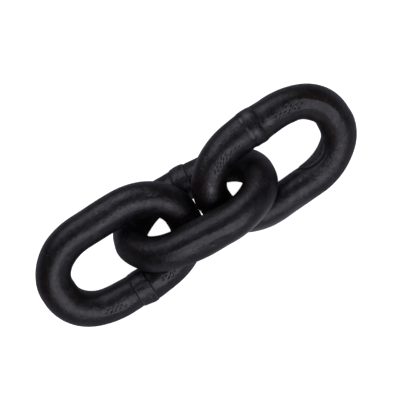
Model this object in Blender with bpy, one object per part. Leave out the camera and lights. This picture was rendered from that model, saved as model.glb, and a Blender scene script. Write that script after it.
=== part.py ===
"""A short length of round steel chain, three interlocked links lying slack on a level floor.

Units are metres and +Z is up. The floor is z = 0, and +X runs along the chain.
Each link is one welded bar. It is drawn in its own plane, with its length on X and its two legs on Y,
and is then rolled, pitched and turned to where it lies.
"""

import math
from collections import namedtuple

import bpy
from mathutils import Euler, Vector

# One link, measured on its own
BAR_DIAMETER = 0.016
INNER_LENGTH = 0.0485
INNER_WIDTH = 0.021
CROWN_DEPTH = 0.0227
BEARING_LENGTH = 0.0026

# The weld collar in the middle of one leg: a step at its left end and a shoulder at its right end
COLLAR_LENGTH = 0.0075
COLLAR_RISE = 0.0005
COLLAR_STEP = 0.0004
COLLAR_SHOULDER = 0.0022

# How finely the round bar and a quarter of a link's end are drawn
BAR_SIDES = 16
CROWN_SEGMENTS = 10

# Handle length, over radius, of the cubic that draws a quarter circle
QUARTER_HANDLE = 0.5523

# Blackened steel
STEEL_COLOUR = (0.021, 0.020, 0.024, 1.0)
STEEL_ROUGHNESS = 0.42
STEEL_METALLIC = 0.55

HALF_WIDTH = (INNER_WIDTH + BAR_DIAMETER) / 2
HALF_LENGTH = (INNER_LENGTH + BAR_DIAMETER) / 2
HALF_LEG = HALF_LENGTH - CROWN_DEPTH
HALF_BEARING = BEARING_LENGTH / 2
BAR_RADIUS = BAR_DIAMETER / 2
BEVEL_RESOLUTION = (BAR_SIDES - 4) // 2

# How a link lies: its centre along and across the chain, its angles in degrees, the side of its welded leg,
# and the point in its own plane that it swings about, which is inside the bar of its neighbour
Lie = namedtuple("Lie", "along across roll pitch yaw weld_side pivot")

LIES = {
    "end_link_left": Lie(-0.0384, -0.00095, 33.9, 5.3, 1.9, -1, (0.0087, 0.0)),
    "middle_link": Lie(0.0, 0.0, -31.5, -3.8, -5.5, 1, (0.0, 0.0)),
    "end_link_right": Lie(0.0418, -0.0012, 40.4, -3.2, 3.6, 1, (-0.0115, 0.0)),
}

# A point of a link's centre line: the handles are None where the bar is straight on that side
Knot = namedtuple("Knot", "at before after thickness", defaults=(1.0,))


def clear_scene():
    for item in list(bpy.data.objects):
        bpy.data.objects.remove(item, do_unlink=True)


def blackened_steel(name):
    material = bpy.data.materials.new(name)
    material.use_nodes = True
    shader = material.node_tree.nodes["Principled BSDF"]
    shader.inputs["Base Color"].default_value = STEEL_COLOUR
    shader.inputs["Roughness"].default_value = STEEL_ROUGHNESS
    shader.inputs["Metallic"].default_value = STEEL_METALLIC
    material.diffuse_color = STEEL_COLOUR
    return material


def crown_knots():
    """The right end of a link: out from the near leg, along the short bearing, and back into the far leg."""
    reach = QUARTER_HANDLE * CROWN_DEPTH
    rise = QUARTER_HANDLE * (HALF_WIDTH - HALF_BEARING)
    near_leg = Knot(Vector((HALF_LEG, -HALF_WIDTH)), None, Vector((HALF_LEG + reach, -HALF_WIDTH)))
    near_bearing = Knot(
        Vector((HALF_LENGTH, -HALF_BEARING)), Vector((HALF_LENGTH, -HALF_BEARING - rise)), None
    )
    far_bearing = Knot(
        Vector((HALF_LENGTH, HALF_BEARING)), None, Vector((HALF_LENGTH, HALF_BEARING + rise))
    )
    far_leg = Knot(Vector((HALF_LEG, HALF_WIDTH)), Vector((HALF_LEG + reach, HALF_WIDTH)), None)
    return [near_leg, near_bearing, far_bearing, far_leg]


def collar_knots(first_ramp, last_ramp):
    """The weld collar on the far leg, from right to left, with the length of the ramp at each end."""
    half = COLLAR_LENGTH / 2
    thick = 1.0 + COLLAR_RISE / BAR_RADIUS
    stations = [(half + first_ramp, 1.0), (half, thick), (-half, thick), (-half - last_ramp, 1.0)]
    return [Knot(Vector((x, HALF_WIDTH)), None, None, size) for x, size in stations]


def turned_round(knots):
    """The same knots after half a turn of the link in its own plane."""
    return [
        Knot(-knot.at, knot.before and -knot.before, knot.after and -knot.after, knot.thickness)
        for knot in knots
    ]


def link_knots(weld_side):
    """The closed centre line of a link, counted round from the near leg's right end."""
    right_half = crown_knots()
    left_half = crown_knots()
    if weld_side > 0:
        right_half += collar_knots(COLLAR_SHOULDER, COLLAR_STEP)
    else:
        left_half += collar_knots(COLLAR_STEP, COLLAR_SHOULDER)
    return right_half + turned_round(left_half)


def set_handle(point, side, target):
    if target is None:
        setattr(point, f"handle_{side}_type", "VECTOR")
    else:
        setattr(point, f"handle_{side}_type", "FREE")
        setattr(point, f"handle_{side}", target)


def link_curve(name, lie):
    """A link's bar as a bevelled curve whose origin is the point that the link swings about."""
    curve = bpy.data.curves.new(name, "CURVE")
    curve.dimensions = "3D"
    curve.twist_mode = "Z_UP"
    curve.resolution_u = CROWN_SEGMENTS
    curve.bevel_depth = BAR_RADIUS
    curve.bevel_resolution = BEVEL_RESOLUTION
    spline = curve.splines.new("BEZIER")
    spline.use_cyclic_u = True
    knots = link_knots(lie.weld_side)
    spline.bezier_points.add(len(knots) - 1)
    pivot = Vector(lie.pivot)
    for point, knot in zip(spline.bezier_points, knots):
        point.co = (knot.at - pivot).to_3d()
        set_handle(point, "left", knot.before and (knot.before - pivot).to_3d())
        set_handle(point, "right", knot.after and (knot.after - pivot).to_3d())
        point.radius = knot.thickness
        point.tilt = math.pi / BAR_SIDES
    return curve


def add_link(name, lie):
    curve = link_curve(name, lie)
    curve.materials.append(blackened_steel(name + "_steel"))
    link = bpy.data.objects.new(name, curve)
    bpy.context.scene.collection.objects.link(link)
    turn = Euler((math.radians(lie.roll), math.radians(lie.pitch), math.radians(lie.yaw)))
    link.rotation_euler = turn
    link.location = Vector((lie.along, lie.across, 0.0)) + turn.to_matrix() @ Vector((*lie.pivot, 0.0))
    return link


def world_points(item):
    """Every corner of an object's finished surface, in world space."""
    finished = item.evaluated_get(bpy.context.evaluated_depsgraph_get())
    points = [finished.matrix_world @ corner.co for corner in finished.to_mesh().vertices]
    finished.to_mesh_clear()
    return points


def set_on_floor(link):
    link.location.z -= min(point.z for point in world_points(link))


def centre_on_origin(links):
    """Move the chain along the floor until its bounding box is centred over the origin."""
    points = [point for link in links for point in world_points(link)]
    middle_x = (min(point.x for point in points) + max(point.x for point in points)) / 2
    middle_y = (min(point.y for point in points) + max(point.y for point in points)) / 2
    for link in links:
        link.location.x -= middle_x
        link.location.y -= middle_y


def main():
    clear_scene()
    links = [add_link(name, lie) for name, lie in LIES.items()]
    bpy.context.view_layer.update()
    for link in links:
        set_on_floor(link)
    bpy.context.view_layer.update()
    centre_on_origin(links)
    bpy.context.view_layer.update()


main()
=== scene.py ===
"""A short length of heavy round steel chain: three interlocked welded links lying slack, in satin black.

Units are metres and +Z is up. Each link is bent from a round bar in its own plane, worked over, and then
laid where the frame has it. Places on a bar are given along it from the middle of its weld, and round it in
degrees: 0 is the outer side of the link, 90 its upper face and 180 the side of its eye.
"""

import bisect
import math
from collections import namedtuple

import bmesh
import bpy
from mathutils import Euler, Matrix, Vector, noise


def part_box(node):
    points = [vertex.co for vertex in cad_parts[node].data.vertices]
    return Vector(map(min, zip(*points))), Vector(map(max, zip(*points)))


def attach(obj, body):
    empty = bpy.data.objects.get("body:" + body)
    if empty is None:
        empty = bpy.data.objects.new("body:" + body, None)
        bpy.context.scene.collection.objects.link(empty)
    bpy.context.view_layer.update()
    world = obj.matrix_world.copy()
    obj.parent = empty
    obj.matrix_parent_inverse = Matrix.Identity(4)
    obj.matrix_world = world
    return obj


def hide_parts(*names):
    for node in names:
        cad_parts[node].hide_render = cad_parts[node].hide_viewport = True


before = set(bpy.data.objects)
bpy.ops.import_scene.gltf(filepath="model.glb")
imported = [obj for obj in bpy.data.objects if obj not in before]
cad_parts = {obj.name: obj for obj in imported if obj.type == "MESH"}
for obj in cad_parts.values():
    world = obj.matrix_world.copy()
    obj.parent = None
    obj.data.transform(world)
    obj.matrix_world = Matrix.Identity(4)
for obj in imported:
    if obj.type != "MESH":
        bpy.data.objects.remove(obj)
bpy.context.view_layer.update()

# One link, measured on its own
BAR_DIAMETER = 0.016
INNER_LENGTH = 0.0485
INNER_WIDTH = 0.021
CROWN_DEPTH = 0.0227
BEARING_LENGTH = 0.0026

# The round bar runs between the corners and the flats of the frame's sixteen-sided one
BAR_RADIUS = 0.0079

HALF_WIDTH = (INNER_WIDTH + BAR_DIAMETER) / 2
HALF_LENGTH = (INNER_LENGTH + BAR_DIAMETER) / 2
HALF_LEG = HALF_LENGTH - CROWN_DEPTH
HALF_BEARING = BEARING_LENGTH / 2
CROWN_SPREAD = HALF_WIDTH - HALF_BEARING

# The frame's plain collar, which says with the bar where a link lies, and how coarsely that is measured
FRAME_COLLAR_RISE = 0.0005
FRAME_COLLAR_HALF = 0.00375
FRAME_RING_STEP = 3
FRAME_SIDES = 40

# How finely the centre line is walked, and how finely a bar is drawn: its rings are closer near the weld
CROWN_STEPS = 400
BAR_SIDES = 160
WORKED_REACH = 0.030
WORKED_SPACING = 0.00023
PLAIN_SPACING = 0.0004
WELD_DISTANCE = 0.00001

# Stands a ring that was drawn flat upright on a bar that runs along X, its first corner on the outer side
RING_STANCE = Matrix.Rotation(math.pi / 2, 4, "Y") @ Matrix.Rotation(math.pi / 2, 4, "Z")

# A part of the collar that is left where the flash of the weld was trimmed off. It stands between start
# and stop, with a slope before and after and over some degrees at its sides, and is domed along and round
Lobe = namedtuple("Lobe", "around spread start stop rise lead tail dome")
LOBE_EDGE = 15.0

# A groove that the trimming tool cut across the bar, or a burr where its depth is below 0. It runs out
# past a share of its spread, and is gone a few widths away
Groove = namedtuple("Groove", "along around spread width depth")
GROOVE_EDGE = 0.6
GROOVE_WIDTHS = 3

# A bump, or a dip where its rise is below 0: where it peaks, and how far it runs before, after and round
Bump = namedtuple("Bump", "along around rise before after spread")

# A flat that a die or a jaw pressed on the bar: how many degrees its facing drifts in a metre, and which
# of its edges stays put as it fades out, 1 for the one further round, -1 for the other and 0 for neither
Flat = namedtuple("Flat", "along around drift length depth fade pinned")

# How far the plane of a flat wanders and over what length, how much of the bar above it was pressed down,
# how much of that marks a place as hard pressed, and how squarely a place has to face the plane to be
# reached by it
FLAT_WANDER = 0.00006
FLAT_WANDER_LENGTH = 0.005
FLAT_WANDER_ROW = 0.5
FLAT_SHARE = 0.7
FLAT_PRESS = 0.00012
FLAT_LEAST_LEAN = 0.5

# A thin lap of metal that the bending peg folded up, with a crisp edge and a furrow along it that eases
# off outwards
Lap = namedtuple("Lap", "along around length spread height")

# In shares of a lap: how wide its edge is, how far it can reach, where it rises from its first end, and
# the depth of the furrow, where that runs and how wide it is on its near and its far side
LAP_EDGE = 0.05
LAP_REACH = 1.7
LAP_START = (-1.1, -0.4)
FURROW_SHARE = 3.0
FURROW_OFF = 1.07
FURROW_NEAR = 0.05
FURROW_FAR = 0.15

# One row of teeth marks of the jaw that held the bar for welding: the first tooth, how many there are,
# and how many degrees round the row drifts from tooth to tooth. The other jaw left the same, less deep,
# on the lower face
Teeth = namedtuple("Teeth", "along around count depth drift")
LOWER_TEETH = 0.8

# How far apart the teeth are, half the length and width of a mark, and how much it slants
TOOTH_PITCH = 0.0022
TOOTH_HALF_LENGTH = 0.00054
TOOTH_HALF_WIDTH = 0.00058
TOOTH_SLANT = 0.8

# The wall of a tooth's mark and the low rim round it, in shares of the mark's half size, with the height of
# the rim in a share of the mark's depth
TOOTH_WALL = (1.25, 0.35)
TOOTH_RIM = 0.3
TOOTH_RIM_OFF = 1.35
TOOTH_RIM_WIDTH = 0.25
TOOTH_RIM_WIDTHS = 3

# How far a tooth strays along its row, how much of its mark's depth is left and how much that varies, and
# the steps through the noise, from tooth to tooth and from row to row, that make each mark its own
TOOTH_STRAY = 0.0005
TOOTH_LEFT = 0.8
TOOTH_WEAR = 0.5
STRAY_STEPS = (2.3, 500.0)
WEAR_STEPS = (1.7, 1000.0)

# How each link lies, in degrees, and whether its welded leg is the near one
Lie = namedtuple("Lie", "roll pitch yaw turned")

LIES = {
    "end_link_left": Lie(33.9, 5.3, 1.9, True),
    "middle_link": Lie(-31.5, -3.8, -5.5, False),
    "end_link_right": Lie(40.4, -3.2, 3.6, False),
}

# The unevenness of a hot bent bar, in waves: their length round the bar and along it, and their rise. Over
# the last stretch before its ends meet they are eased into each other
Wave = namedtuple("Wave", "round_length along_length rise")
WAVES = [Wave(0.008, 0.014, 0.00020), Wave(0.0026, 0.004, 0.00003)]
WAVE_JOIN = 0.012

# A place made lighter on the skin, partly by scuffing in handling and partly as a painted highlight where
# the steel
# catches the light: in scattered marks up to a strength of 1, and bare all over from 2, a solid painted
# highlight. It is full within a share of its size
Scuff = namedtuple("Scuff", "along around length spread strength", defaults=(1.0,))
SCUFF_AND_HIGHLIGHT_EDGE = 0.2

# How many corners away the neighbours are that say how crested a corner is, and the rise of a full crest
CREST_REACH = 2
CREST_RISE = 0.00006

# The grain rolled into the bar lies round a smaller lap than the link's, so that it is drawn out along it
GRAIN_LAP = 0.006

# How each bar was worked, with places along it from its weld and round it in degrees
Work = namedtuple("Work", "seed lobes grooves bumps flats laps teeth scuffs")

WORKS = {
    "end_link_left": Work(
        seed=0.31,
        lobes=[
            Lobe(30.0, 94.0, -0.0033, 0.0030, 0.00046, 0.0008, 0.0006, 0.5),
            Lobe(210.0, 94.0, -0.0028, 0.0026, 0.00048, 0.0010, 0.0016, 0.4),
        ],
        grooves=[
            Groove(0.0041, 60.0, 110.0, 0.0006, 0.00012), Groove(-0.0044, 100.0, 90.0, 0.0007, 0.00016),
        ],
        bumps=[
            Bump(-0.0036, 25.0, 0.0008, 0.0100, 0.0062, 66.0),
            Bump(-0.0790, 10.0, 0.0005, 0.0240, 0.0240, 75.0),
            Bump(0.0290, 35.0, 0.0003, 0.0120, 0.0120, 60.0),
            Bump(0.0120, 170.0, 0.0006, 0.0110, 0.0110, 60.0),
            Bump(0.0540, 20.0, -0.0005, 0.0110, 0.0110, 80.0),
            Bump(0.0420, 152.0, 0.0005, 0.0100, 0.0100, 60.0),
        ],
        flats=[
            Flat(0.0150, 88.0, 0.0, 0.012, 0.00012, 0.004, 0),
            Flat(-0.0150, 92.0, 0.0, 0.012, 0.00012, 0.004, 0),
        ],
        laps=[],
        teeth=[
            Teeth(0.0105, 85.0, 5, 0.00032, 0.6),
            Teeth(0.0116, 96.0, 4, 0.00022, 0.6),
            Teeth(-0.0166, 93.0, 4, 0.00034, 3.2),
            Teeth(-0.0145, 83.0, 3, 0.00034, 5.2),
        ],
        scuffs=[
            Scuff(-0.0715, 45.0, 0.010, 16.0, 1.4), Scuff(-0.0610, 62.0, 0.005, 14.0),
            Scuff(0.0768, 41.0, 0.004, 9.0), Scuff(0.0100, 104.0, 0.007, 16.0),
            Scuff(0.0160, 92.0, 0.009, 16.0), Scuff(-0.0100, 94.0, 0.006, 16.0),
            Scuff(0.0300, 96.0, 0.006, 10.0), Scuff(-0.0830, 85.0, 0.009, 12.0),
            Scuff(0.0, 70.0, 0.004, 30.0), Scuff(-0.0800, 55.0, 0.010, 14.0, 1.2),
            Scuff(-0.0740, 86.0, 0.018, 15.0, 1.45),
        ],
    ),
    "middle_link": Work(
        seed=0.57,
        lobes=[
            Lobe(37.0, 97.0, -0.0034, 0.0028, 0.00046, 0.0010, 0.0006, 0.5),
            Lobe(217.0, 97.0, -0.0032, 0.0028, 0.00042, 0.0010, 0.0008, 0.4),
        ],
        grooves=[Groove(0.0038, 60.0, 110.0, 0.0006, 0.00018)],
        bumps=[
            Bump(0.0853, -34.0, 0.0014, 0.0220, 0.0240, 44.0),
            Bump(0.0, 66.0, 0.0007, 0.0110, 0.0110, 50.0),
            Bump(-0.0530, 10.0, -0.0013, 0.0090, 0.0080, 80.0),
            Bump(-0.0300, 200.0, 0.0009, 0.0120, 0.0160, 60.0),
            Bump(0.0300, 195.0, 0.0004, 0.0160, 0.0160, 50.0),
            Bump(0.0690, -20.0, 0.0004, 0.0100, 0.0100, 50.0),
        ],
        flats=[
            Flat(-0.0765, 20.0, 0.0, 0.0060, 0.00028, 0.0100, 1),
            Flat(0.0830, 26.0, 150.0, 0.0180, 0.00012, 0.0140, 0),
        ],
        laps=[],
        teeth=[
            Teeth(0.0090, 86.0, 6, 0.0003, 0.8),
            Teeth(0.0101, 97.0, 4, 0.0002, 0.8),
            Teeth(-0.0240, 88.0, 7, 0.0003, -0.5),
            Teeth(-0.0229, 77.0, 5, 0.0002, -0.5),
        ],
        scuffs=[
            Scuff(-0.0815, 62.0, 0.007, 9.0), Scuff(0.0770, 69.0, 0.006, 9.0),
            Scuff(-0.0010, 85.0, 0.003, 30.0), Scuff(-0.0785, 17.0, 0.011, 11.0, 1.5),
            Scuff(0.0770, 28.0, 0.007, 4.0, 1.3),
        ],
    ),
    "end_link_right": Work(
        seed=0.83,
        lobes=[
            Lobe(60.0, 96.0, -0.0024, 0.0022, 0.00022, 0.0012, 0.0016, 0.3),
            Lobe(240.0, 96.0, -0.0026, 0.0022, 0.00030, 0.0010, 0.0014, 0.6),
        ],
        grooves=[
            Groove(0.0043, 36.0, 44.0, 0.0008, 0.00032), Groove(0.0030, 102.0, 48.0, 0.0008, 0.00032),
            Groove(-0.0030, 82.0, 26.0, 0.0008, -0.00036), Groove(-0.0032, 31.0, 16.0, 0.0005, -0.00026),
        ],
        bumps=[
            Bump(0.0004, 30.0, 0.00044, 0.0036, 0.0042, 48.0),
            Bump(-0.0002, 92.0, 0.00044, 0.0032, 0.0032, 42.0),
            Bump(0.0016, 160.0, 0.00030, 0.0030, 0.0040, 46.0),
            Bump(-0.0045, 150.0, -0.00025, 0.0018, 0.0022, 50.0),
            Bump(0.0066, 87.0, 0.00036, 0.0030, 0.0050, 36.0),
            Bump(-0.0020, 0.0, 0.0011, 0.0200, 0.0110, 60.0),
            Bump(0.0360, 28.0, -0.0005, 0.0110, 0.0110, 60.0),
            Bump(0.0700, 50.0, 0.00045, 0.0160, 0.0200, 50.0),
            Bump(0.0240, 146.0, -0.0006, 0.0070, 0.0070, 50.0),
            Bump(0.0460, 166.0, 0.0007, 0.0080, 0.0080, 50.0),
        ],
        flats=[
            Flat(0.0290, 87.5, 900.0, 0.0200, 0.00028, 0.0050, 0),
            Flat(-0.0200, 88.0, 0.0, 0.0120, 0.0001, 0.0040, 0),
        ],
        laps=[Lap(0.0652, 187.0, 0.0125, 38.0, 0.00012)],
        teeth=[
            Teeth(0.0100, 83.0, 6, 0.00036, 1.7),
            Teeth(0.0111, 94.0, 3, 0.0003, 1.0),
            Teeth(0.0158, 72.0, 4, 0.0002, 2.0),
            Teeth(-0.0250, 84.0, 8, 0.00034, 1.2),
            Teeth(-0.0240, 94.0, 5, 0.0003, 0.4),
            Teeth(-0.0208, 78.0, 3, 0.00024, 1.5),
        ],
        scuffs=[
            Scuff(-0.0330, 80.0, 0.007, 14.0, 1.3), Scuff(-0.0125, 86.0, 0.005, 14.0, 1.2),
            Scuff(-0.0329, 86.0, 0.0026, 10.0, 3.0), Scuff(-0.0275, 2.0, 0.0100, 10.0, 3.0),
            Scuff(0.0067, 86.0, 0.0036, 26.0, 1.7), Scuff(-0.0029, 82.0, 0.0014, 28.0, 3.0),
            Scuff(-0.0032, 31.0, 0.0011, 16.0, 3.0), Scuff(-0.0062, 35.0, 0.0030, 6.0, 1.7),
            Scuff(0.0004, 28.0, 0.0034, 34.0, 1.6), Scuff(-0.0002, 91.0, 0.0028, 30.0, 1.6),
            Scuff(0.0780, 138.0, 0.010, 18.0, 0.9), Scuff(-0.0175, 43.0, 0.013, 20.0, 1.45),
            Scuff(0.0660, 168.0, 0.012, 24.0, 1.45), Scuff(0.0670, 118.0, 0.013, 14.0, 1.35),
            Scuff(0.0160, 84.0, 0.008, 18.0), Scuff(0.0440, 105.0, 0.014, 16.0),
            Scuff(0.0655, 82.0, 0.004, 9.0), Scuff(-0.0820, 82.0, 0.012, 12.0),
            Scuff(-0.0190, 86.0, 0.007, 16.0), Scuff(0.0720, 125.0, 0.008, 20.0, 0.7),
        ],
    ),
}

# The skin's patterns: how many grains each has in a metre, then how many finer layers it has, how rough
# those are and how warped it is. The mottle and the pits have a size of their own on each link
Cloud = namedtuple("Cloud", "detail roughness warp")
GRAIN_SCALE = 900.0
PATCH_SCALE = 110.0
MARK_SCALE = 480.0
SPECK_SCALE = 1100.0
HEAT_SCALE = 70.0
MOTTLE_CLOUD = Cloud(4.0, 0.6, 0.4)
PIT_CLOUD = Cloud(3.0, 0.65, 0.0)
GRAIN_CLOUD = Cloud(3.0, 0.6, 0.3)
PATCH_CLOUD = Cloud(2.0, 0.5, 0.6)
MARK_CLOUD = Cloud(3.0, 0.6, 1.2)
SPECK_CLOUD = Cloud(2.0, 0.5, 0.0)
HEAT_CLOUD = Cloud(3.0, 0.55, 0.5)

# Between what values of a pattern or a mask each thing on the skin sets in
MOTTLE_STEP = (0.32, 0.68)
PIT_STEP = (0.38, 0.66)
PATCH_STEP = (0.0, 0.12)
SPECK_STEP = (0.55, 0.68)
BARE_AND_HIGHLIGHT_STEP = (1.0, 2.0)
RIDGE_STEP = (0.3, 1.0)
HOLLOW_STEP = (0.2, 0.9)
HEAT_STEP = (0.35, 0.62)
CROWN_STEP = (0.0, 0.4)

# How scuffed a stray patch is, and the squiggles: the value that their pattern has along each of them,
# and how far from it, squared, they end
STRAY_SCUFF = 0.5
SQUIGGLE_MIDDLE = 0.5
SQUIGGLE_END = 0.0012

WHITE = (1.0, 1.0, 1.0, 1.0)

# The colours of the skin
BLACK_SKIN = (0.0040, 0.0038, 0.0044, 1.0)
BLUE_BLACK_SKIN = (0.0078, 0.0078, 0.0098, 1.0)
BROWN_SKIN = (0.0100, 0.0048, 0.0040, 1.0)
# Partly wear and partly a painted highlight: this grey is laid on spots, ridges and edges where the steel
# catches the light
RUB_AND_HIGHLIGHT_SKIN = (0.0680, 0.0690, 0.0760, 1.0)
# Painted shade: the hollows and pits are laid darker than the skin round them
PAINTED_HOLLOW_SHADE = (0.0020, 0.0019, 0.0020, 1.0)

# How each thing on the skin changes its roughness, how high it stands, in shares of the bump's distance,
# and how much of the mottle and the bloom is left where the skin was pressed flat
PIT_ROUGHNESS = 0.06
BROWN_ROUGHNESS = 0.05
HOLLOW_ROUGHNESS = 0.12
RUB_AND_HIGHLIGHT_ROUGHNESS = -0.05
MOTTLE_HEIGHT = 1.0
PRESSED_SHARE = 0.25
PIT_HEIGHT = 0.35
GRAIN_HEIGHT = 0.35
RUB_AND_HIGHLIGHT_HEIGHT = 0.4
BUMP_DISTANCE = 0.00008

# How each link's own skin came out
Finish = namedtuple("Finish", "smooth rough mottle_scale pit_scale patches ridges brown_reach")

FINISHES = {
    "end_link_left": Finish(0.30, 0.38, 330.0, 1300.0, 0.55, 1.0, 0.66),
    "middle_link": Finish(0.32, 0.39, 300.0, 1200.0, 0.59, 1.0, 0.60),
    "end_link_right": Finish(0.30, 0.39, 360.0, 1350.0, 0.56, 1.0, 0.50),
}

# The camera, as the photo was taken
LENS_MM = 63.0
CAMERA_AZIMUTH = 1.85
CAMERA_ELEVATION = 72.76
CAMERA_ROLL = 33.32
CAMERA_DISTANCE = 0.3165
AIM = Vector((0.0025, 0.0023, 0.0167))

# The studio: the floor's half size and glow, how far off the softboxes are, their colour, and the azimuth,
# elevation, width and height, and watts of each
FLOOR_HALF = 3.0
FLOOR_GLOW = 0.98
SOFTBOX_DISTANCE = 1.0
SOFTBOX_COLOUR = (0.95, 0.95, 1.10)
SOFTBOXES = {
    "rear_softbox": (180.0, 51.0, (1.0, 0.62), 3.2),
    "front_softbox": (0.0, 39.0, (1.0, 0.62), 4.6),
}

# The white table, to the eye and as the steel mirrors it: there its light is painted, in a colour brighter
# towards the front on the right, and most in a painted glowing spot in front of the middle link
TABLE_COLOUR = (0.9, 0.9, 0.9, 1.0)
TABLE_ROUGHNESS = 0.9
TABLE_WAY = (0.58, -0.81, 0.0)
TABLE_REACH = (0.0, 0.35)
DIM_TABLE = (0.58, 0.59, 0.66, 1.0)
LIT_TABLE = (0.95, 0.97, 1.0, 1.0)
TABLE_SPOT = (0.018, -0.050, 0.0)
SPOT_REACH = (0.025, 0.045)
SPOT_GLOW = (0.60, 0.62, 0.68, 1.0)

# The room that the steel mirrors is dim and a little warm, and the wall behind the table is pale
ROOM_COLOUR = (0.036, 0.029, 0.028, 1.0)
WALL_COLOUR = (0.95, 0.95, 0.95, 1.0)


def place_camera():
    data = bpy.data.cameras.new("photo_camera")
    data.lens = LENS_MM
    camera = bpy.data.objects.new("photo_camera", data)
    turn = (
        Matrix.Rotation(math.radians(CAMERA_AZIMUTH), 4, "Z")
        @ Matrix.Rotation(math.radians(90 - CAMERA_ELEVATION), 4, "X")
        @ Matrix.Rotation(math.radians(-CAMERA_ROLL), 4, "Z")
    )
    camera.matrix_world = Matrix.Translation(AIM) @ turn @ Matrix.Translation((0, 0, CAMERA_DISTANCE))
    bpy.context.scene.collection.objects.link(camera)
    bpy.context.scene.camera = camera


# A place on the centre line of a link: the point, the way that the bar runs there, and how far along it is
Place = namedtuple("Place", "at heading along")


def half_line():
    """The right half of a link's centre line, from the middle of its far leg to that of its near leg."""
    first = [(Vector((0.0, HALF_WIDTH, 0.0)), 0.0)]
    for step in range(CROWN_STEPS + 1):
        turn = math.pi / 2 * step / CROWN_STEPS
        out, across = CROWN_DEPTH * math.sin(turn), CROWN_SPREAD * math.cos(turn)
        at = Vector((HALF_LEG + out, HALF_BEARING + across, 0.0))
        first.append((at, -math.atan2(CROWN_SPREAD * math.sin(turn), CROWN_DEPTH * math.cos(turn))))
    second = [(Vector((at.x, -at.y, 0.0)), -math.pi - heading) for at, heading in reversed(first)]
    return first + second


def centre_line():
    """The whole closed centre line, clockwise from the middle of the far leg and back to it."""
    right = half_line()
    left = [(-at, heading - math.pi) for at, heading in right]
    line = []
    along = 0.0
    for at, heading in right + left[1:]:
        along += (at - line[-1].at).length if line else 0.0
        line.append(Place(at, heading, along))
    return line


CENTRE_LINE = centre_line()
BAR_LENGTH = CENTRE_LINE[-1].along


def place_at(along):
    """The place that lies so far along the centre line from the weld, either way."""
    along %= BAR_LENGTH
    last = len(CENTRE_LINE) - 1
    after = bisect.bisect_right(CENTRE_LINE, along, lo=1, hi=last, key=lambda place: place.along)
    one, two = CENTRE_LINE[after - 1], CENTRE_LINE[after]
    share = (along - one.along) / (two.along - one.along)
    return one.at.lerp(two.at, share), one.heading + (two.heading - one.heading) * share


def ring_places():
    """Where the rings of a bar stand, with places past half way counted back from the weld."""
    worked = round(2 * WORKED_REACH / WORKED_SPACING)
    plain_length = BAR_LENGTH - 2 * WORKED_REACH
    plain = round(plain_length / PLAIN_SPACING)
    alongs = [-WORKED_REACH + 2 * WORKED_REACH * ring / worked for ring in range(worked)]
    alongs += [WORKED_REACH + plain_length * ring / plain for ring in range(plain)]
    return [Place(*place_at(along), along - BAR_LENGTH * round(along / BAR_LENGTH)) for along in alongs]


def stance(place):
    return Matrix.Translation(place.at) @ Matrix.Rotation(place.heading, 4, "Z") @ RING_STANCE


def ramp(low, high, value):
    """A smooth rise from 0 at low to 1 at high."""
    share = min(1.0, max(0.0, (value - low) / (high - low)))
    return share * share * (3 - 2 * share)


def way_round(around, centre):
    """How far a place round the bar is from a centre given in degrees, in radians, the short way."""
    off = around - math.radians(centre)
    return math.atan2(math.sin(off), math.cos(off))


def way_along(along, centre):
    """How far a place along the bar is from a centre, the short way round the link."""
    off = along - centre
    return off - BAR_LENGTH * round(off / BAR_LENGTH)


def lobe_rise(lobe, along, around):
    half_long = (lobe.stop - lobe.start) / 2
    off = (along - lobe.start - half_long) / half_long
    side = way_round(around, lobe.around) / math.radians(lobe.spread)
    if abs(side) >= 1.0:
        return 0.0
    step = ramp(lobe.start - lobe.lead, lobe.start, along) * ramp(lobe.stop + lobe.tail, lobe.stop, along)
    cover = ramp(1.0, 1.0 - LOBE_EDGE / lobe.spread, abs(side))
    dome = lobe.dome * (1.0 - min(1.0, off * off)) * (1.0 - side * side)
    return lobe.rise * step * cover * (1.0 - lobe.dome / 2 + dome)


def groove_depth(groove, along, around):
    off = (along - groove.along) / groove.width
    side = way_round(around, groove.around) / math.radians(groove.spread)
    return groove.depth * math.exp(-off * off) * ramp(1.0, GROOVE_EDGE, abs(side))


def bump_rise(bump, along, around):
    off = way_along(along, bump.along)
    reach = bump.before if off < 0 else bump.after
    side = way_round(around, bump.around) / math.radians(bump.spread)
    return bump.rise * ramp(1.0, 0.0, abs(off) / reach) * ramp(1.0, 0.0, abs(side))


def flat_reach(flat, along, around):
    """How far out the plane of a flat lies, in the way that around points."""
    run = way_along(along, flat.along)
    off = abs(run) - flat.length / 2
    if off > flat.fade:
        return math.inf
    wander = FLAT_WANDER * noise.noise(Vector((run / FLAT_WANDER_LENGTH, flat.around, FLAT_WANDER_ROW)))
    depth = max(0.0, (flat.depth + wander) * ramp(flat.fade, 0.0, off) ** 2)
    shrunk = math.degrees(math.acos(1 - flat.depth / BAR_RADIUS) - math.acos(1 - depth / BAR_RADIUS))
    facing = flat.around + flat.drift * run + flat.pinned * shrunk
    lean = math.cos(way_round(around, facing))
    return (BAR_RADIUS - depth) / lean if lean > FLAT_LEAST_LEAN else math.inf


def lap_rise(lap, along, around):
    """How high a lap stands, below 0 in its furrow."""
    off = way_along(along, lap.along) / lap.length
    side = way_round(around, lap.around) / math.radians(lap.spread)
    far = math.hypot(off, side)
    out = (far - FURROW_OFF) / (FURROW_NEAR if far < FURROW_OFF else FURROW_FAR)
    fold = ramp(1.0, 1.0 - LAP_EDGE, far) - FURROW_SHARE * math.exp(-out * out)
    return lap.height * ramp(*LAP_START, off) * fold


def tooth_noise(row, tooth, steps):
    """A number from -1 to 1 that is a tooth's own."""
    tooth_step, row_step = steps
    return noise.noise(Vector((tooth * tooth_step, row.around, row.along * row_step)))


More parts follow.
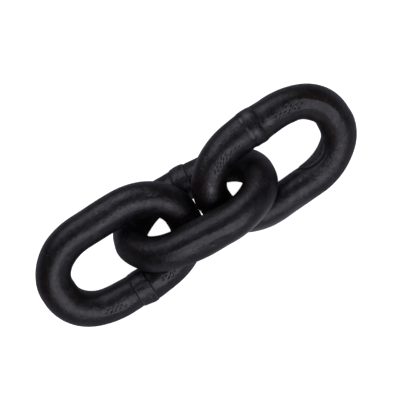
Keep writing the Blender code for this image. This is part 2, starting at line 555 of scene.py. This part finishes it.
def tooth_marks(row, along, around):
    """The hollows of one row of teeth, each with a low rim that was pushed up round it."""
    tooth = min(row.count - 1, max(0, round((along - row.along) / TOOTH_PITCH)))
    side = way_round(around, row.around + row.drift * tooth) * BAR_RADIUS
    off = along - row.along - tooth * TOOTH_PITCH + TOOTH_SLANT * side
    off += TOOTH_STRAY * tooth_noise(row, tooth, STRAY_STEPS)
    far = math.hypot(off / TOOTH_HALF_LENGTH, side / TOOTH_HALF_WIDTH)
    if far > TOOTH_RIM_OFF + TOOTH_RIM_WIDTHS * TOOTH_RIM_WIDTH:
        return 0.0
    left = TOOTH_LEFT + TOOTH_WEAR * tooth_noise(row, tooth, WEAR_STEPS)
    rim = TOOTH_RIM * math.exp(-(((far - TOOTH_RIM_OFF) / TOOTH_RIM_WIDTH) ** 2))
    return row.depth * left * (rim - ramp(*TOOTH_WALL, far))


def unevenness(along, around, seed):
    """The slight waves of a bar that was rolled, bent hot and scaled, the same where its two ends meet."""
    rise = 0.0
    join = ramp(BAR_LENGTH / 2 - WAVE_JOIN, BAR_LENGTH / 2, along)
    for wave in WAVES:
        turn = Vector((math.cos(around), math.sin(around), 0.0)) * BAR_RADIUS / wave.round_length
        here = noise.noise(turn + Vector((seed, seed, along / wave.along_length)))
        if join > 0.0:
            there = noise.noise(turn + Vector((seed, seed, (along - BAR_LENGTH) / wave.along_length)))
            here += (there - here) * join
        rise += wave.rise * here
    return rise


def worked_reach(work, along, around):
    """How far the worked bar's surface lies from its centre line."""
    reach = BAR_RADIUS + unevenness(along, around, work.seed)
    reach += sum(lobe_rise(lobe, along, around) for lobe in work.lobes)
    reach += sum(bump_rise(bump, along, around) for bump in work.bumps)
    reach -= sum(groove_depth(groove, along, around) for groove in work.grooves)
    cut = min([reach] + [flat_reach(flat, along, around) for flat in work.flats])
    reach += FLAT_SHARE * (cut - reach)
    reach += sum(lap_rise(lap, along, around) for lap in work.laps)
    for row in work.teeth:
        reach += tooth_marks(row, along, around)
        reach += LOWER_TEETH * tooth_marks(row, along, -around)
    return reach


def pressed(work, along, around):
    """How hard the surface was pressed flat at a place, from 0 to 1."""
    if not work.flats:
        return 0.0
    reach = BAR_RADIUS + sum(bump_rise(bump, along, around) for bump in work.bumps)
    return ramp(0.0, FLAT_PRESS, reach - min(flat_reach(flat, along, around) for flat in work.flats))


def scuffed_and_highlighted(work, along, around):
    """How far a place is made lighter, by scuffing and by painted highlights: 0 where it isn't, and bare all
    over, as a solid painted highlight, from 2.
    """
    most = 0.0
    for scuff in work.scuffs:
        off = way_along(along, scuff.along) / scuff.length
        side = way_round(around, scuff.around) / math.radians(scuff.spread)
        most = max(most, scuff.strength * ramp(1.0, SCUFF_AND_HIGHLIGHT_EDGE, math.hypot(off, side)))
    return most


def stretch(feature):
    """The stretch of bar that a feature can change: its middle, and half its length."""
    if isinstance(feature, Lobe):
        start, stop = feature.start - feature.lead, feature.stop + feature.tail
        return (start + stop) / 2, (stop - start) / 2
    if isinstance(feature, Teeth):
        half = (feature.count - 1) * TOOTH_PITCH / 2
        return feature.along + half, half + TOOTH_PITCH
    if isinstance(feature, Groove):
        return feature.along, GROOVE_WIDTHS * feature.width
    if isinstance(feature, Bump):
        return feature.along, max(feature.before, feature.after)
    if isinstance(feature, Flat):
        return feature.along, feature.length / 2 + feature.fade
    if isinstance(feature, Lap):
        return feature.along, LAP_REACH * feature.length
    return feature.along, feature.length


def near_work(work, along):
    """The work on a bar that can change it at one place along it."""
    kept = {}
    for kind in ("lobes", "grooves", "bumps", "flats", "laps", "teeth", "scuffs"):
        stretches = [(feature, *stretch(feature)) for feature in getattr(work, kind)]
        kept[kind] = [one for one, middle, half in stretches if abs(way_along(along, middle)) <= half]
    return work._replace(**kept)


def crest(table, ring, side):
    """How much a corner stands above its neighbours, from -1 in a hollow to 1 on a ridge."""
    near = table[ring - CREST_REACH][side] + table[(ring + CREST_REACH) % len(table)][side]
    near += table[ring][side - CREST_REACH] + table[ring][(side + CREST_REACH) % BAR_SIDES]
    return max(-1.0, min(1.0, (table[ring][side] - near / 4) / CREST_RISE))


def straight_bar(rings):
    """A plain round bar that stands on end, with a ring of corners for each place on the centre line."""
    bar = bmesh.new()
    bmesh.ops.create_cone(
        bar, segments=BAR_SIDES, radius1=BAR_RADIUS, radius2=BAR_RADIUS, depth=rings, cap_ends=False
    )
    lengthways = [edge for edge in bar.edges if abs(edge.verts[0].co.z - edge.verts[1].co.z) > rings / 2]
    bmesh.ops.subdivide_edges(bar, edges=lengthways, cuts=rings - 1)
    bmesh.ops.translate(bar, vec=(0.0, 0.0, rings / 2), verts=bar.verts)
    return bar


def bend_bar(work):
    """A closed link of worked bar.

    Each corner keeps how crested and pressed it is, how much lighter it is made by scuffing and painted
    highlights, how near a crown it lies, and its place in the grain.
    """
    places = ring_places()
    works = [near_work(work, place.along) for place in places]
    turns = [2 * math.pi * side / BAR_SIDES for side in range(BAR_SIDES)]
    table = [[worked_reach(near, place.along, turn) for turn in turns] for near, place in zip(works, places)]
    stances = [stance(place) for place in places]
    bar = straight_bar(len(places))
    crested = bar.verts.layers.float.new("crest")
    wear_and_painted_light = bar.verts.layers.float.new("scuffed_and_highlighted")
    flattened = bar.verts.layers.float.new("pressed")
    bent = bar.verts.layers.float.new("crown")
    grain = bar.verts.layers.float_vector.new("grain")
    grain_turn = bar.verts.layers.float.new("grain_turn")
    for vert in bar.verts:
        ring = round(vert.co.z) % len(places)
        turn = math.atan2(vert.co.y, vert.co.x)
        side = round(turn / (2 * math.pi) * BAR_SIDES) % BAR_SIDES
        lap = 2 * math.pi * places[ring].along / BAR_LENGTH
        vert[crested] = crest(table, ring, side)
        vert[wear_and_painted_light] = scuffed_and_highlighted(works[ring], places[ring].along, turn)
        vert[flattened] = pressed(works[ring], places[ring].along, turn)
        vert[bent] = abs(math.sin(lap))
        vert[grain] = (BAR_RADIUS * math.cos(turn), BAR_RADIUS * math.sin(turn), GRAIN_LAP * math.cos(lap))
        vert[grain_turn] = GRAIN_LAP * math.sin(lap)
        reach = table[ring][side]
        vert.co = stances[ring] @ Vector((reach * math.cos(turn), reach * math.sin(turn), 0.0))
    bmesh.ops.remove_doubles(bar, verts=bar.verts, dist=WELD_DISTANCE)
    bmesh.ops.recalc_face_normals(bar, faces=bar.faces)
    return bar


def frame_middle(turn):
    """The middle of the box round a turned link as the frame draws it, before it was worked."""
    points = []
    for place in ring_places()[::FRAME_RING_STEP]:
        reach = BAR_RADIUS + (FRAME_COLLAR_RISE if abs(place.along) < FRAME_COLLAR_HALF else 0.0)
        for side in range(FRAME_SIDES):
            around = 2 * math.pi * side / FRAME_SIDES
            corner = Vector((reach * math.cos(around), reach * math.sin(around), 0.0))
            points.append(turn @ (stance(place) @ corner))
    spreads = [[point[axis] for point in points] for axis in range(3)]
    return Vector((min(spread) + max(spread)) / 2 for spread in spreads)


def lay(link, name):
    """Turn a link as it lies, and bring it to where the frame has it."""
    lie = LIES[name]
    half_turn = Matrix.Rotation(math.pi if lie.turned else 0.0, 3, "Z")
    turn = Euler((math.radians(lie.roll), math.radians(lie.pitch), math.radians(lie.yaw))).to_matrix()
    bmesh.ops.rotate(link, cent=(0, 0, 0), matrix=turn @ half_turn, verts=link.verts)
    low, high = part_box(name)
    bmesh.ops.translate(link, vec=(low + high) / 2 - frame_middle(turn @ half_turn), verts=link.verts)


def finished(bar, name, material):
    mesh = bpy.data.meshes.new(name)
    bar.to_mesh(mesh)
    bar.free()
    mesh.shade_smooth()
    mesh.materials.append(material)
    piece = bpy.data.objects.new(name, mesh)
    bpy.context.scene.collection.objects.link(piece)
    return piece


def shader_group(name, inputs, outputs):
    """An empty node group, whose inputs and outputs are given as names and kinds of socket."""
    group = bpy.data.node_groups.new(name, "ShaderNodeTree")
    for in_out, sockets in (("INPUT", inputs), ("OUTPUT", outputs)):
        for socket, kind in sockets.items():
            group.interface.new_socket(name=socket, in_out=in_out, socket_type="NodeSocket" + kind)
    return group, group.nodes.new("NodeGroupInput").outputs, group.nodes.new("NodeGroupOutput").inputs


def add_node(tree, kind, **settings):
    node = tree.nodes.new(kind)
    for setting, value in settings.items():
        setattr(node, setting, value)
    return node


def plug(tree, socket, source):
    """Feed an input from an output, or give it a value."""
    if isinstance(source, bpy.types.NodeSocket):
        tree.links.new(source, socket)
    else:
        socket.default_value = source


def feed(tree, node, **feeds):
    """Give a node's inputs, named with _ for a space, each a value or the output that feeds it."""
    for socket, source in feeds.items():
        plug(tree, node.inputs[socket.replace("_", " ")], source)
    return node


def cloudy(tree, scale, cloud, **feeds):
    """A noise of so many grains in a metre."""
    node = add_node(tree, "ShaderNodeTexNoise", noise_dimensions="4D" if "W" in feeds else "3D")
    feed(tree, node, Scale=scale, Detail=cloud.detail, Roughness=cloud.roughness, Distortion=cloud.warp)
    return feed(tree, node, **feeds).outputs["Fac"]


def between(tree, value, low, high, to_low=0.0, to_high=1.0):
    """A smooth step of a value between two bounds."""
    node = add_node(tree, "ShaderNodeMapRange", interpolation_type="SMOOTHSTEP")
    return feed(
        tree, node, Value=value, From_Min=low, From_Max=high, To_Min=to_low, To_Max=to_high
    ).outputs["Result"]


def combined(tree, operation, *terms, clamp=False):
    """Terms taken together by an operation, one after the other."""
    total = terms[0]
    for term in terms[1:]:
        node = add_node(tree, "ShaderNodeMath", operation=operation, use_clamp=clamp)
        for slot, source in enumerate((total, term)):
            plug(tree, node.inputs[slot], source)
        total = node.outputs["Value"]
    return total


# The sockets of a Mix node that are for colours
MIX_SHARE, MIX_UNDER, MIX_OVER, MIX_RESULT = 0, 6, 7, 2


def tint(tree, share, under, over):
    """One colour laid over another by a mask."""
    node = add_node(tree, "ShaderNodeMix", data_type="RGBA")
    for slot, source in ((MIX_SHARE, share), (MIX_UNDER, under), (MIX_OVER, over)):
        plug(tree, node.inputs[slot], source)
    return node.outputs[MIX_RESULT]


def mill_scale_group():
    """The skin of hot worked steel: a slow mottle, fine pits, and a grain drawn out along the bar."""
    group, given, made = shader_group(
        "mill_scale",
        {
            "Position": "Vector", "Grain Way": "Vector", "Grain Turn": "Float",
            "Mottle Scale": "Float", "Pit Scale": "Float",
        },
        {"Mottle": "Float", "Pits": "Float", "Grain": "Float"},
    )
    mottle = cloudy(group, given["Mottle Scale"], MOTTLE_CLOUD, Vector=given["Position"])
    pits = cloudy(group, given["Pit Scale"], PIT_CLOUD, Vector=given["Position"])
    grain = cloudy(group, GRAIN_SCALE, GRAIN_CLOUD, Vector=given["Grain Way"], W=given["Grain Turn"])
    group.links.new(between(group, mottle, *MOTTLE_STEP), made["Mottle"])
    group.links.new(between(group, pits, *PIT_STEP), made["Pits"])
    group.links.new(grain, made["Grain"])
    return group


def rub_and_highlight_group():
    """Where the skin is lighter, partly from wear and partly as a painted highlight: on ridges, in short
    squiggly scuff marks, and solid where a highlight is painted. Its hollows are put out as well, for
    painted shade.
    """
    group, given, made = shader_group(
        "rubs_and_highlights",
        {"Position": "Vector", "Crest": "Float", "Scuffed": "Float", "Patches": "Float", "Ridges": "Float"},
        {"RubAndHighlight": "Float", "Hollow": "Float"},
    )
    patch = cloudy(group, PATCH_SCALE, PATCH_CLOUD, Vector=given["Position"])
    marks = cloudy(group, MARK_SCALE, MARK_CLOUD, Vector=given["Position"])
    specks = cloudy(group, SPECK_SCALE, SPECK_CLOUD, Vector=given["Position"])
    over = combined(group, "SUBTRACT", patch, given["Patches"])
    where = combined(group, "MAXIMUM", between(group, over, *PATCH_STEP, 0.0, STRAY_SCUFF), given["Scuffed"])
    off = combined(group, "SUBTRACT", marks, SQUIGGLE_MIDDLE)
    squiggle = between(group, combined(group, "MULTIPLY", off, off), SQUIGGLE_END, 0.0)
    mark = combined(group, "MAXIMUM", squiggle, between(group, specks, *SPECK_STEP))
    scratches_and_highlights = combined(group, "MULTIPLY", where, mark)
    # Bare places, from 2, are solid painted highlights
    scratches_and_highlights = combined(group, "ADD", scratches_and_highlights, between(group, given["Scuffed"], *BARE_AND_HIGHLIGHT_STEP))
    ridge = between(group, combined(group, "MULTIPLY", given["Crest"], given["Ridges"]), *RIDGE_STEP)
    group.links.new(combined(group, "ADD", scratches_and_highlights, ridge, clamp=True), made["RubAndHighlight"])
    # The hollows, where shade is painted darker
    sunk = combined(group, "MULTIPLY", given["Crest"], -1.0)
    group.links.new(between(group, sunk, *HOLLOW_STEP), made["Hollow"])
    return group


def bending_heat_group():
    """The brown bloom that is left where the bar was heated and bent."""
    group, given, made = shader_group(
        "bending_heat", {"Position": "Vector", "Crown": "Float", "Reach": "Float"}, {"Brown": "Float"}
    )
    cloud = cloudy(group, HEAT_SCALE, HEAT_CLOUD, Vector=given["Position"])
    near = between(group, combined(group, "SUBTRACT", given["Crown"], given["Reach"]), *CROWN_STEP)
    brown = combined(group, "MULTIPLY", near, between(group, cloud, *HEAT_STEP))
    group.links.new(brown, made["Brown"])
    return group


MILL_SCALE = mill_scale_group()
RUB_AND_HIGHLIGHT = rub_and_highlight_group()
BENDING_HEAT = bending_heat_group()


def place_group(tree, group, **feeds):
    node = add_node(tree, "ShaderNodeGroup", node_tree=group)
    return feed(tree, node, **feeds).outputs


def blackened_steel(name, finish):
    """Satin black skin on hot worked steel, a little brown, greyer and smoother where it shows wear and
    where highlights are painted, and darker in its hollows with painted shade.
    """
    material = bpy.data.materials.new(name)
    material.use_nodes = True
    tree = material.node_tree
    shader = tree.nodes["Principled BSDF"]
    position = add_node(tree, "ShaderNodeTexCoord").outputs["Object"]
    read = {
        layer: add_node(tree, "ShaderNodeAttribute", attribute_name=layer).outputs
        for layer in ("crest", "scuffed_and_highlighted", "pressed", "crown", "grain", "grain_turn")
    }
    scale = place_group(
        tree, MILL_SCALE, Position=position, Grain_Way=read["grain"]["Vector"],
        Grain_Turn=read["grain_turn"]["Fac"], Mottle_Scale=finish.mottle_scale, Pit_Scale=finish.pit_scale,
    )
    wear_and_painted_light = place_group(
        tree, RUB_AND_HIGHLIGHT, Position=position, Crest=read["crest"]["Fac"], Scuffed=read["scuffed_and_highlighted"]["Fac"],
        Patches=finish.patches, Ridges=finish.ridges,
    )
    heat = place_group(
        tree, BENDING_HEAT, Position=position, Crown=read["crown"]["Fac"], Reach=finish.brown_reach
    )
    unpressed = between(tree, read["pressed"]["Fac"], 0.0, 1.0, 1.0, PRESSED_SHARE)
    brown = combined(tree, "MULTIPLY", heat["Brown"], unpressed)

    colour = tint(tree, scale["Mottle"], BLACK_SKIN, BLUE_BLACK_SKIN)
    # Over the mottle go the brown bloom, the grey of wear and painted highlights, and the painted shade in
    # hollows
    for mask, over in ((brown, BROWN_SKIN), (wear_and_painted_light["RubAndHighlight"], RUB_AND_HIGHLIGHT_SKIN), (wear_and_painted_light["Hollow"], PAINTED_HOLLOW_SHADE)):
        colour = tint(tree, mask, colour, over)
    tree.links.new(colour, shader.inputs["Base Color"])

    rough = between(tree, scale["Mottle"], 0.0, 1.0, finish.smooth, finish.rough)
    for mask, change in (
        (scale["Pits"], PIT_ROUGHNESS), (brown, BROWN_ROUGHNESS),
        (wear_and_painted_light["Hollow"], HOLLOW_ROUGHNESS), (wear_and_painted_light["RubAndHighlight"], RUB_AND_HIGHLIGHT_ROUGHNESS),
    ):
        rough = combined(tree, "ADD", rough, combined(tree, "MULTIPLY", mask, change))
    tree.links.new(rough, shader.inputs["Roughness"])

    height = combined(
        tree,
        "ADD",
        combined(tree, "MULTIPLY", scale["Mottle"], MOTTLE_HEIGHT, unpressed),
        combined(tree, "MULTIPLY", scale["Pits"], PIT_HEIGHT),
        combined(tree, "MULTIPLY", scale["Grain"], GRAIN_HEIGHT),
        combined(tree, "MULTIPLY", wear_and_painted_light["RubAndHighlight"], RUB_AND_HIGHLIGHT_HEIGHT),
    )
    bump = feed(tree, add_node(tree, "ShaderNodeBump"), Strength=1.0, Distance=BUMP_DISTANCE, Height=height)
    tree.links.new(bump.outputs["Normal"], shader.inputs["Normal"])
    return material


def make_link(name):
    bar = bend_bar(WORKS[name])
    lay(bar, name)
    piece = finished(bar, name + "_bar", blackened_steel(name + "_skin", FINISHES[name]))
    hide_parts(name)
    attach(piece, name)


def table_top():
    """The white table. It glows to the eye, as a backlit one does, and the steel mirrors a painted light on
    it: a colour brighter towards the front on the right, and a glowing spot.
    """
    material = bpy.data.materials.new("white_table")
    material.use_nodes = True
    tree = material.node_tree
    seen = tree.nodes["Principled BSDF"]
    feed(
        tree, seen, Base_Color=TABLE_COLOUR, Roughness=TABLE_ROUGHNESS, Specular_IOR_Level=0.0,
        Emission_Color=WHITE, Emission_Strength=FLOOR_GLOW,
    )
    position = add_node(tree, "ShaderNodeTexCoord").outputs["Object"]
    facing = add_node(tree, "ShaderNodeVectorMath", operation="DOT_PRODUCT")
    tree.links.new(position, facing.inputs[0])
    facing.inputs[1].default_value = TABLE_WAY
    share = between(tree, facing.outputs["Value"], *TABLE_REACH)
    lit = add_node(tree, "ShaderNodeBsdfDiffuse")
    tree.links.new(tint(tree, share, DIM_TABLE, LIT_TABLE), lit.inputs["Color"])
    far = add_node(tree, "ShaderNodeVectorMath", operation="DISTANCE")
    tree.links.new(position, far.inputs[0])
    far.inputs[1].default_value = TABLE_SPOT
    # A painted glowing spot, which only the steel's reflections see
    spot = feed(tree, add_node(tree, "ShaderNodeEmission"), Color=SPOT_GLOW)
    mirrored = add_node(tree, "ShaderNodeMixShader")
    tree.links.new(between(tree, far.outputs["Value"], *SPOT_REACH, 1.0, 0.0), mirrored.inputs[0])
    tree.links.new(lit.outputs[0], mirrored.inputs[1])
    tree.links.new(spot.outputs[0], mirrored.inputs[2])
    mix = add_node(tree, "ShaderNodeMixShader")
    tree.links.new(add_node(tree, "ShaderNodeLightPath").outputs["Is Glossy Ray"], mix.inputs[0])
    tree.links.new(seen.outputs[0], mix.inputs[1])
    tree.links.new(mirrored.outputs[0], mix.inputs[2])
    tree.links.new(mix.outputs[0], tree.nodes["Material Output"].inputs["Surface"])
    return material


def pale_floor():
    sheet = bmesh.new()
    bmesh.ops.create_grid(sheet, x_segments=1, y_segments=1, size=FLOOR_HALF)
    mesh = bpy.data.meshes.new("studio_floor")
    sheet.to_mesh(mesh)
    sheet.free()
    mesh.materials.append(table_top())
    ground = bpy.data.objects.new("studio_floor", mesh)
    ground.visible_diffuse = False
    bpy.context.scene.collection.objects.link(ground)


def softbox(name, azimuth, elevation, size, watts):
    """A soft light of the given width and height that faces the chain from an azimuth and an elevation."""
    data = bpy.data.lights.new(name, "AREA")
    data.shape = "RECTANGLE"
    data.size, data.size_y = size
    data.energy = watts
    data.color = SOFTBOX_COLOUR
    lamp = bpy.data.objects.new(name, data)
    way_round_table = Matrix.Rotation(math.radians(azimuth), 4, "Z")
    tilt = Matrix.Rotation(math.radians(90 - elevation), 4, "X")
    lamp.matrix_world = way_round_table @ tilt @ Matrix.Translation((0.0, 0.0, SOFTBOX_DISTANCE))
    bpy.context.scene.collection.objects.link(lamp)


def room():
    """The dim room round the table, as the world, with a pale wall where the camera looks at it."""
    world = bpy.data.worlds.new("studio")
    bpy.context.scene.world = world
    world.use_nodes = True
    tree = world.node_tree
    dim = tree.nodes["Background"]
    dim.inputs["Color"].default_value = ROOM_COLOUR
    pale = feed(tree, add_node(tree, "ShaderNodeBackground"), Color=WALL_COLOUR)
    mix = add_node(tree, "ShaderNodeMixShader")
    tree.links.new(add_node(tree, "ShaderNodeLightPath").outputs["Is Camera Ray"], mix.inputs[0])
    tree.links.new(dim.outputs[0], mix.inputs[1])
    tree.links.new(pale.outputs[0], mix.inputs[2])
    tree.links.new(mix.outputs[0], tree.nodes["World Output"].inputs["Surface"])


place_camera()
for link_name in LIES:
    make_link(link_name)
pale_floor()
room()
for softbox_name, softbox_place in SOFTBOXES.items():
    softbox(softbox_name, *softbox_place)
bpy.context.scene.view_settings.view_transform = "Standard"
